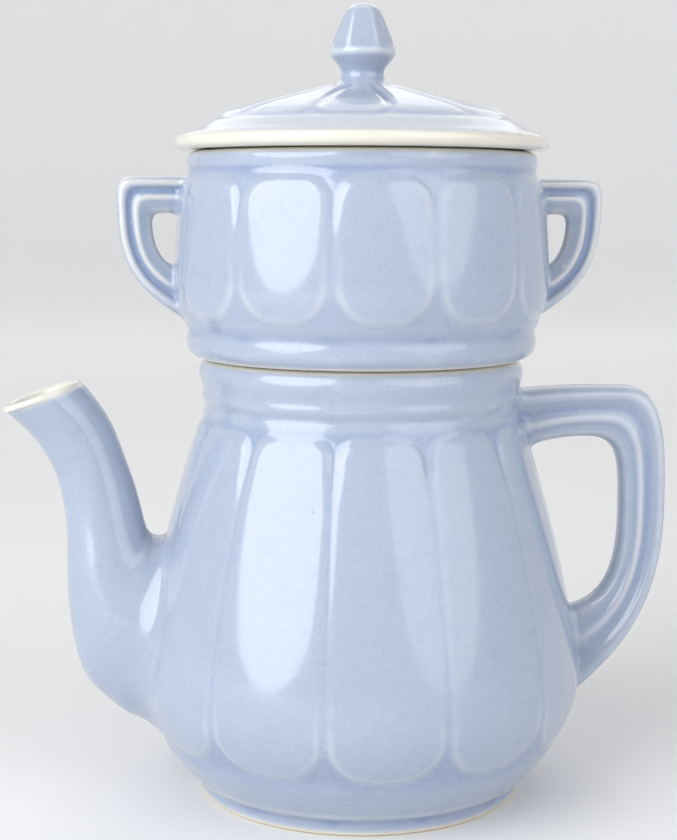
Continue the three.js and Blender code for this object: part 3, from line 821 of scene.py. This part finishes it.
def vesselOutside():
    seat, rim, foot = vesselSeat, vesselRim, vessel["seatRadius"]
    side = [(radius, seat + up) for radius, up in vessel["outline"]]
    return smoothLine([(foot - 1.3, seat), (foot + 0.3, seat + 0.25), *side, (56.5, rim - 1.9), (56.1, rim - 0.9),
                       (55.2, rim - 0.3), (54.4, rim)], 0.7)


def vesselInside():
    wall, seat, rim = vessel["wall"], vesselSeat, vesselRim
    mouth, chamber, low = (vessel[k] - wall for k in ("rimRadius", "wallRadius", "baseRadius"))
    ledge, ledgeTop, floor = mouth - vessel["ledgeWidth"], rim - vessel["ledgeDrop"], seat + vessel["floor"]
    ledgeFoot = ledgeTop - vessel["ledgeThickness"]
    slope = chamber - ledge
    return smoothLine([
        (54.4, rim), (mouth + 1, rim), (mouth + 0.2, rim - 0.5), (mouth, rim - 1.6), (mouth, ledgeTop + 1.2),
        (mouth - 0.4, ledgeTop + 0.3), (mouth - 1.2, ledgeTop), (ledge + 0.6, ledgeTop),
        (ledge + 0.1, ledgeTop - 0.6), (ledge, ledgeFoot), (chamber - 0.5, ledgeFoot - slope),
        (chamber, ledgeFoot - slope - 2), (chamber, seat + 18.5), (low - 0.6, seat + vessel["baseHeight"]),
        (low - 1.4, floor + 1.6), (low - 3.4, floor), (30, floor), (0, floor)], 1.3)


vesselWall = vesselOutside()
filterVessel = throw("filterVessel", joined(vesselUnderside(), vesselWall, vesselInside()), vessel["columns"])
crowd(filterVessel)
pressWall(filterVessel, vesselWall, vesselRadius)
drill(filterVessel, strainerDrill(vesselSeat - 1, vesselSeat + vessel["floor"] + 1, 0, holes))


ear = {
    "reach": earReach, "width": 11, "topDrop": 8, "topDepth": 11.8, "depth": 11.3, "bendDrop": 20, "rootDrop": 54,
    "gapDrop": 36, "buried": 5, "rootReach": 2.6, "rootSpread": 2.0, "rings": 90, "sides": 72,
    "side": [(1, 0), (0.98, 0.4), (0.9, 0.72), (0.78, 0.9), (0.64, 0.93), (0.5, 0.86), (0.38, 0.72), (0.24, 0.66),
             (0.1, 0.7), (-0.04, 0.8), (-0.16, 0.82), (-0.3, 0.76), (-0.5, 0.66), (-0.7, 0.56), (-0.87, 0.42),
             (-0.97, 0.22), (-1, 0)],
}


def earRails():
    top, gapLow, low, bend = (vesselRim - ear[k] for k in ("topDrop", "gapDrop", "rootDrop", "bendDrop"))
    reach, buried, gapTop = ear["reach"], ear["buried"], top - ear["topDepth"]
    gap = reach - ear["depth"]
    wall, root = (float(outlineAt(z, vesselWall)) for z in ((gapTop + gapLow) / 2, low))
    steps = (110, 90, 60)
    outer = rail(
        [(root - buried, low - buried / 2), (wall + 11, low + 8), (reach - 0.8, low + 15), (reach, bend)],
        [(reach, bend), (reach + 0.4, top - 3), (reach + 0.4, top), (reach - 6, top)],
        [(reach - 6, top), (wall - buried - 3, top)], steps=steps)
    inner = rail(
        [(wall - buried, gapLow - 2), (wall + 3, gapLow - 1.5), (gap - 0.6, gapLow + 3), (gap, bend - 3.5)],
        [(gap, bend - 3.5), (gap, gapTop - 0.6), (gap - 1, gapTop), (gap - 3.5, gapTop)],
        [(gap - 3.5, gapTop), (wall - buried - 3, gapTop)], steps=steps)
    return inner, outer


rightEar = makeBar("rightEar", earRails(), ear, vesselRadius)
leftEar = rightEar.copy()
leftEar.data = rightEar.data.copy()
leftEar.name = leftEar.data.name = "leftEar"
bpy.context.collection.objects.link(leftEar)
putPlaces(leftEar, places(rightEar) * np.array([-1, -1, 1]))  # half a turn round the axis
print("filter pieces shaped")


spreader = {"floor": 4, "rimWall": 3.2, "columns": 144, "knobRadius": 6.5, "knobColumns": 72}


def makeSpreader():
    seat, top, edge = spreaderLow[2], spreaderHigh[2], spreaderHigh[0]
    floor, inner = seat + spreader["floor"], edge - spreader["rimWall"]
    profile = smoothLine([
        (0, seat), (20, seat), (edge - 1.4, seat), (edge - 0.3, seat + 0.4), (edge, seat + 1.4), (edge, top - 1.2),
        (edge - 0.4, top - 0.3), (edge - 1.3, top), (inner + 0.9, top), (inner + 0.1, top - 0.4),
        (inner - 0.6, floor + 0.4), (inner - 1.8, floor), (30, floor), (0, floor)], 1.2)
    dish = throw("spreaderDish", profile, spreader["columns"])
    drill(dish, strainerDrill(seat - 1, floor + 1, 1, holes))
    return dish


def makeSpreaderKnob():
    low, high, wide = smallKnobLow[2], smallKnobHigh[2], spreader["knobRadius"]
    profile = smoothLine([
        (0, low - 0.2), (3, low - 0.2), (wide - 0.6, low - 0.2), (wide - 1.2, low + 0.7), (wide - 2.3, low + 3),
        (wide - 2.5, low + 4.8), (wide - 1.6, low + 7.2), (wide - 0.3, low + 9), (wide, low + 10.4),
        (wide - 0.4, low + 12), (wide - 1.8, low + 13.3), (wide - 3.6, high - 0.15), (0, high)], 0.6)
    return throw("spreaderKnob", profile, spreader["knobColumns"])


spreaderDish = makeSpreader()
spreaderKnob = makeSpreaderKnob()
print("spreader shaped")


lid = {
    "columns": 300, "turn": -10.5, "flangeRadius": 51.2, "flangeWall": 3.7, "flangeDepth": 6, "wall": 4.3,
    "panelOuter": 47.6, "panelInner": 12, "margin": 1.0, "corner": 4.5, "depth": 0.55, "fade": 2.2, "flat": 0.3,
}


# Where points lie in the nearest of the lid's panels: how far in from its edge, and the share of its half width
def inLidPanel(radius, angle):
    half = 180 / panels["count"]
    offset = np.abs(inPanel(angle, lid["turn"]))
    side = np.radians(half - offset) * radius - lid["margin"]
    return insideCorner(side, lid["panelOuter"] - radius, lid["corner"]), offset / half


def lidOutside():
    seat, flange = lidSeat, lid["flangeRadius"]
    foot = seat - lid["flangeDepth"]
    under = [(flange - lid["flangeWall"] + 1, foot), (flange - 1, foot), (flange - 0.2, foot + 0.5),
             (flange, foot + 1.6), (flange, seat - 1), (flange + 0.4, seat - 0.2), (flange + 1.4, seat)]
    dome = [(3.2, 0), (1.3, 0.35), (0.35, 1.2), (0, 2.6), (0.3, 3.8), (1.2, 4.7), (2.7, 5.45), (4.6, 6.25),
            (8.5, 8.25), (12, 10.2), (15, 11.9), (22.5, 14.4), (30.5, 16.5), (38.5, 18.5), (45.5, 20.2)]
    pad = [(lidBrim - 50, lidPad - 0.2), (lidBrim - 53, lidPad), (0, lidPad)]
    return smoothLine([*under, *((lidBrim - inward, seat + up) for inward, up in dome), *pad], 0.75)


def lidInside():
    seat, ceiling, bore = lidSeat, lidPad - lid["wall"], lid["flangeRadius"] - lid["flangeWall"]
    foot = seat - lid["flangeDepth"]
    return smoothLine([(0, ceiling), (12, ceiling - 0.6), (26, ceiling - 3.6), (38, ceiling - 6.8),
                       (44, ceiling - 9.6), (bore - 0.6, seat + 3.2), (bore, seat + 1), (bore, foot + 1.2),
                       (bore + 1, foot)], 1.3)


def makeLid():
    outside = lidOutside()
    piece = throw("lidDome", joined(lidInside(), outside), lid["columns"])
    crowd(piece, lid["turn"])
    points = places(piece) / mm
    radius, angle = polar(points)
    top = outside[outside[:, 1] > lidSeat + 3][::-1]
    outer = np.abs(points[:, 2] - np.interp(radius, top[:, 0], top[:, 1])) < 0.5
    inside, across = inLidPanel(radius, angle)
    inner, end = lid["panelInner"], lid["panelOuter"] + 1.2
    zone = ease(radius, inner - 4, inner + 6) * (1 - ease(radius, end, end + lid["fade"]))
    face = lid["flat"] * across**2
    relief = zone * (ease(inside, -0.5, 2.1) * (lid["depth"] + face) - lid["depth"])
    points[:, 2] += np.where(outer, relief, 0)
    putPlaces(piece, points * mm)
    return piece


lidDome = makeLid()


lidKnob = {
    "columns": 144, "facets": 6, "softness": 13, "turn": -8.0,
    "outline": [  # radius, and height over the dome
        (9.2, -0.5), (8.2, 0.3), (7.3, 1.4), (6.85, 2.7), (6.85, 3.9), (7.4, 5), (8.5, 6.4), (9.7, 7.9), (10.4, 8.9),
        (10.65, 9.8), (10.5, 10.7), (10.05, 12), (9.3, 14.2), (8.35, 16.6), (7.45, 18.8), (6.6, 20.9), (5.7, 22.6),
        (4.4, 24.2), (2.6, 25.1)],
}


# A turned finial, with facets cut above its ridge
def makeLidKnob():
    low, high, facets = lidKnobLow[2], lidKnobHigh[2], lidKnob["facets"]
    base = [(0, low - 1.1), (5, low - 1.1), (9.8, low - 1.1)]
    profile = smoothLine([*base, *((r, low + up) for r, up in lidKnob["outline"]), (0, high - 0.9)], 0.5)
    piece = throw("lidKnob", profile, lidKnob["columns"])
    points = places(piece) / mm
    angle = polar(points)[1] - math.radians(lidKnob["turn"])
    up = points[:, 2] - low
    flats = 2 * np.pi * (np.arange(facets) + 0.5) / facets
    reach = np.maximum(np.cos(angle[:, None] - flats[None, :]), 0) / math.cos(math.pi / facets)
    rounded = (reach ** lidKnob["softness"]).sum(1) ** (-1 / lidKnob["softness"])
    rounded /= rounded.max()
    share = ease(up, 10, 13.4) * (1 - 0.6 * ease(up, 22, 26))
    points[:, :2] *= (1 + share * (rounded - 1))[:, None]
    putPlaces(piece, points * mm)
    return piece


lidKnobPiece = makeLidKnob()
print("lid shaped")


# Unglazed clay under the pot's foot ring
def potBare(points):
    return (1 - ease(points[:, 2], 0.5, 1.3)) * (polar(points)[0] > pot["footRadius"] - pot["footRing"] - 1)


# 1 behind the face of a wall and 0 on it
def behind(points, wall):
    return (polar(points)[0] < outlineAt(points[:, 2], wall) - 2.5) * 1.0


# Cream shows on rims, seats and insides
def potCream(points):
    height = points[:, 2]
    rim = ease(height, potRim - 1.6, potRim - 0.4) * 0.95
    foot = (1 - ease(height, 1.2, 2.2)) * (polar(points)[0] > 48) * 0.7
    return np.maximum(np.maximum(rim, foot), behind(points, potWall) * (height > 5))


def spoutCream(points):
    lip = np.array([-(pot["bellyRadius"] + spout["lipOut"]), 0, spout["lipHeight"]])
    return ease((points - lip) @ spoutUp, -2.8, -0.4)


def vesselCream(points):
    height = points[:, 2]
    rim = ease(height, vesselRim - 1.5, vesselRim - 0.5)
    seat = (1 - ease(height, vesselSeat + 0.5, vesselSeat + 1.6)) * 0.9
    return np.maximum(np.maximum(rim, seat), behind(points, vesselWall))


def lidCream(points):
    radius, up = polar(points)[0], points[:, 2] - lidSeat
    brim = (radius > 52) * (1 - ease(up, 3.9, 5.4))
    face = ease(radius, 46, 52) * 0.25
    under = (up < 1.0) * 1.0
    return np.maximum(np.maximum(brim, face), under)


# The foot band is a deeper blue under a pale heel
def potGlaze(points):
    radius, height = polar(points)[0], points[:, 2]
    band = ease(height, 1.2, 2.4) * (1 - ease(height, 5.2, 6.4)) * (radius > pot["footRadius"] - 1)
    heel = ridge(height, 8.2, 1.1) * (radius > pot["heelRadius"] - 2)
    return panelGlaze(points, potWall, pot) + (band * 0.35 - heel * 0.5)


# Deeper blue in the hollows under the vessel's rim and over its base moulding: partly pooled glaze, partly painted
# shade of the hollows
def vesselGlazeAndShade(points):
    up = points[:, 2] - vesselSeat
    hollows = 0.45 * ridge(up, 60.2, 1.3) + 0.15 * ridge(up, 9, 1.5)
    return panelGlaze(points, vesselWall, vessel, base=vesselSeat) + hollows


# A blue line lies round each panel of the lid, with a pale line inside it on the panel's edge
def lidGlaze(points):
    radius, angle = polar(points)
    inside, _ = inLidPanel(radius, angle)
    top = ease(points[:, 2] - lidSeat, 7, 8.5) * ease(radius, 9, 13)
    step = ridge(inside, -1.1, 0.8) * (radius < lid["panelOuter"] + 3)
    return top * (step * 0.9 - ridge(inside, 1.0, 0.9) * 0.5 - 0.35)


layGlaze(potBody, potBare, potCream, poolAndShade=potGlaze)
finished(potBody, "pot", "pot_body", blueGlaze)
layGlaze(potSpout, None, spoutCream, settle=3)
finished(potSpout, "pot", "pot_spout", blueGlaze, 80)
layGlaze(potHandle, settle=3, fine=190)
finished(potHandle, "pot", "pot_handle", blueGlaze, 80)
layGlaze(filterVessel, None, vesselCream, poolAndShade=vesselGlazeAndShade)
finished(filterVessel, "filter", "filter_vessel", blueGlaze)
for piece, node in ((rightEar, "filter_ear_right"), (leftEar, "filter_ear_left")):
    layGlaze(piece, settle=3, fine=210)
    finished(piece, "filter", node, blueGlaze, 80)
for piece, node in ((spreaderDish, "spreader"), (spreaderKnob, "spreader_knob")):
    layGlaze(piece)
    finished(piece, "spreader", node, creamGlaze)
layGlaze(lidDome, None, lidCream, poolAndShade=lidGlaze)
finished(lidDome, "lid", "lid", blueGlaze)
layGlaze(lidKnobPiece, settle=3)
finished(lidKnobPiece, "lid", "lid_knob", blueGlaze)


sweep = {  # metres
    "flat": 2.4, "bend": 1.4, "height": 3.0, "columns": 96,
    "pale": tone(232, 232, 232), "glow": tone(112, 112, 113), "glowFrom": 0.5, "glowTo": 2.6,
}


# A round table whose edge sweeps up out of sight, so that no horizon shows
def makeTable():
    flat, bend, height = (sweep[k] / mm for k in ("flat", "bend", "height"))
    edge = flat + bend
    curve = bezier([(flat, 0), (flat + bend * 0.6, 0), (edge, bend * 0.4), (edge, bend)], 24)
    profile = joined(np.array([(0, 0), (flat / 2, 0), (flat, 0)]), curve, np.array([(edge, bend), (edge, height)]))
    floor = throw("table", profile, sweep["columns"])
    pick(floor)
    bpy.ops.object.mode_set(mode="EDIT")
    bpy.ops.mesh.select_all(action="SELECT")
    bpy.ops.mesh.flip_normals()
    clearSelection()
    pick(floor)
    bpy.ops.object.shade_smooth()
    # The sweep glows more the further it is from the middle: painted light, as if lamps of its own lit the backdrop
    k = Kitchen("studioTable")
    where = k.add("ShaderNodeTexCoord", {}, {}, 3)
    far = k.add("ShaderNodeVectorMath", {"operation": "LENGTH"}, {0: where}, 1)
    shader = k.add("ShaderNodeBsdfPrincipled", {}, {
        "Base Color": sweep["pale"], "Roughness": 0.7, "IOR": 1.3, "Emission Strength": 1.0,
        "Emission Color": k.mix(far.above(sweep["glowFrom"], sweep["glowTo"]), (0, 0, 0, 1), sweep["glow"])})
    k.add("ShaderNodeOutputMaterial", {}, {"Surface": shader}, None)
    floor.data.materials.append(k.material)


# Soft lamps: the degrees round from the front, metres, and the height each is aimed at
frontAzimuth = -96.8
softboxes = {
    "left": {"around": -47, "distance": 1.5, "height": 0.9, "aim": 0.5, "wide": 1.66, "tall": 1.86,
             "watts": 29, "shape": "ELLIPSE"},
    "right": {"around": 47, "distance": 1.5, "height": 0.9, "aim": 0.5, "wide": 1.7, "tall": 1.86,
              "watts": 11.5, "shape": "ELLIPSE"},
    "above": {"around": 180, "distance": 1.6, "height": 1.6, "aim": 0.25, "wide": 2.2, "tall": 1.7,
              "watts": 8.5, "shape": "RECTANGLE"},
}
room = {"colour": (0.97, 0.98, 1.0, 1), "strength": 0.44}
view = {"place": (-0.0635, -0.5343, 0.194), "lens": 70.24, "sensor": 36, "down": 7.54, "turn": -6, "roll": 0.26}


def hang(name, box):
    angle = math.radians(frontAzimuth + box["around"])
    place = Vector((math.cos(angle) * box["distance"], math.sin(angle) * box["distance"], box["height"]))
    bpy.ops.object.light_add(type="AREA", location=place)
    lamp = bpy.context.object
    lamp.name = name
    lamp.data.shape = box["shape"]
    lamp.data.size, lamp.data.size_y = box["wide"], box["tall"]
    lamp.data.energy = box["watts"]
    lamp.rotation_euler = (Vector((0, 0, box["aim"])) - place).to_track_quat("-Z", "Y").to_euler()


def lightRoom():
    world = bpy.data.worlds.new("room")
    bpy.context.scene.world = world
    world.use_nodes = True
    background = world.node_tree.nodes["Background"].inputs
    background["Color"].default_value = room["colour"]
    background["Strength"].default_value = room["strength"]


def placeCamera():
    bpy.ops.object.camera_add(location=view["place"])
    camera = bpy.context.object
    camera.name = "camera"
    camera.data.lens, camera.data.sensor_width = view["lens"], view["sensor"]
    camera.data.clip_start = 0.01
    level = Euler((math.radians(90 - view["down"]), 0, math.radians(view["turn"]))).to_matrix()
    camera.rotation_euler = (level @ Matrix.Rotation(math.radians(view["roll"]), 3, "Z")).to_euler()
    bpy.context.scene.camera = camera


makeTable()
for name, box in softboxes.items():
    hang(name, box)
lightRoom()
placeCamera()
bpy.context.scene.view_settings.view_transform = "Standard"
print("table, lamps and camera placed")
